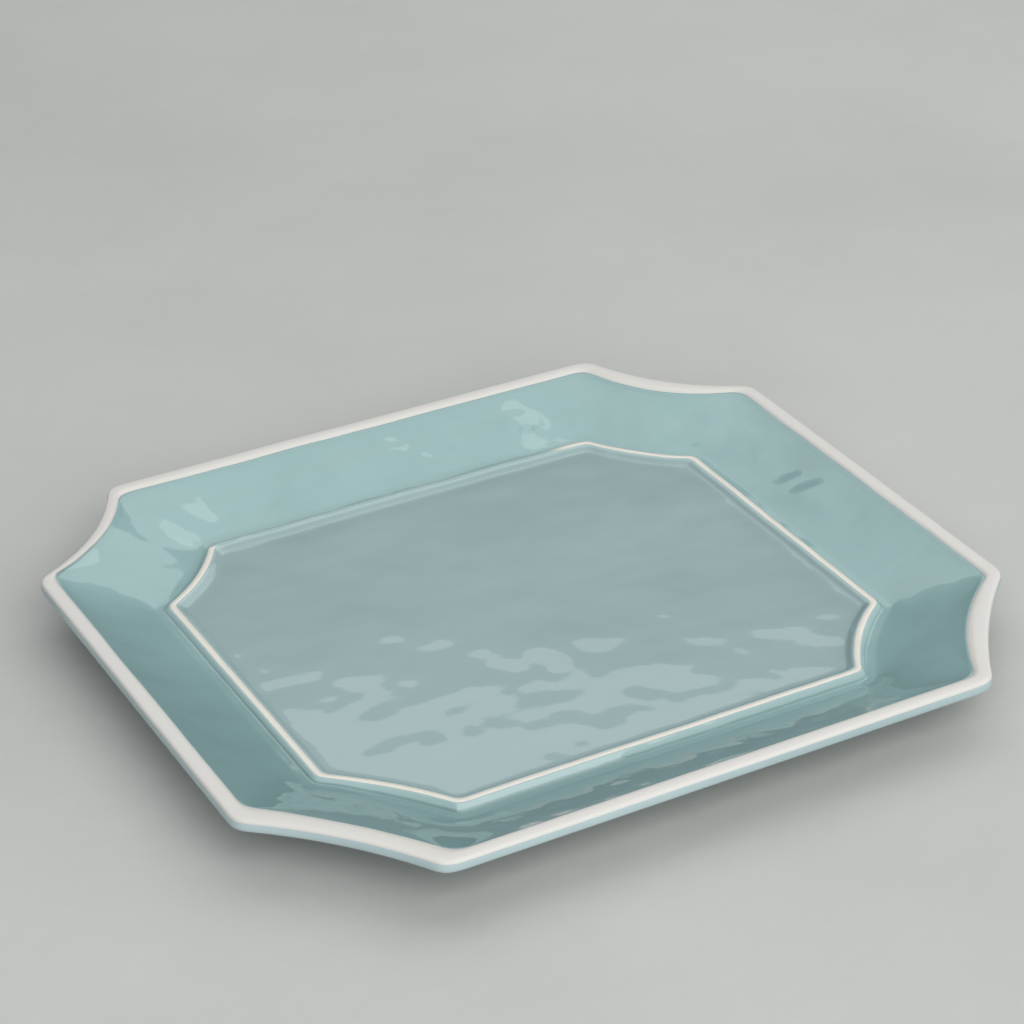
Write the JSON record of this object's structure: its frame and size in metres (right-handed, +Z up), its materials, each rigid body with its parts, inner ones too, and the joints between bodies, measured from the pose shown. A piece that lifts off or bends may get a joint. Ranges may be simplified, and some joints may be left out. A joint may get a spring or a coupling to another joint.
{
  "type": "serving platter",
  "caption": "Rectangular glazed serving platter with concave cut corners, a wide sloping flange, a raised ridge around a shallow well and a pale band on the lip.",
  "frame": {"origin": "middle of the platter's footprint, on the plane of the foot ring's standing face", "axes": "+X along the platter's length, +Y along its width, +Z up out of the well"},
  "size_m": [0.42, 0.377, 0.0305],
  "materials": {
    "clay_body": "unglazed fired clay, matt, fine grained",
    "foot_ring": "unglazed fired clay, smoothed where it stands",
    "well_glaze": "glossy blue-green glaze, gently rippled",
    "flange_glaze": "glossy blue-green glaze, gently rippled, deeper where it pools",
    "ridge_bead": "glossy cream line where the glaze thins over the ridge",
    "lip_band": "satin off-white band with hand-wiped edges",
    "back_glaze": "glossy pale blue glaze",
    "foot_inner_glaze": "glossy pale blue glaze"
  },
  "bodies": {
    "root": {"clay_body": "clay_body", "foot_ring": "foot_ring", "well_glaze": "well_glaze", "flange_glaze": "flange_glaze", "ridge_bead": "ridge_bead", "lip_band": "lip_band", "back_glaze": "back_glaze", "foot_inner_glaze": "foot_inner_glaze"}
  },
  "joints": []
}
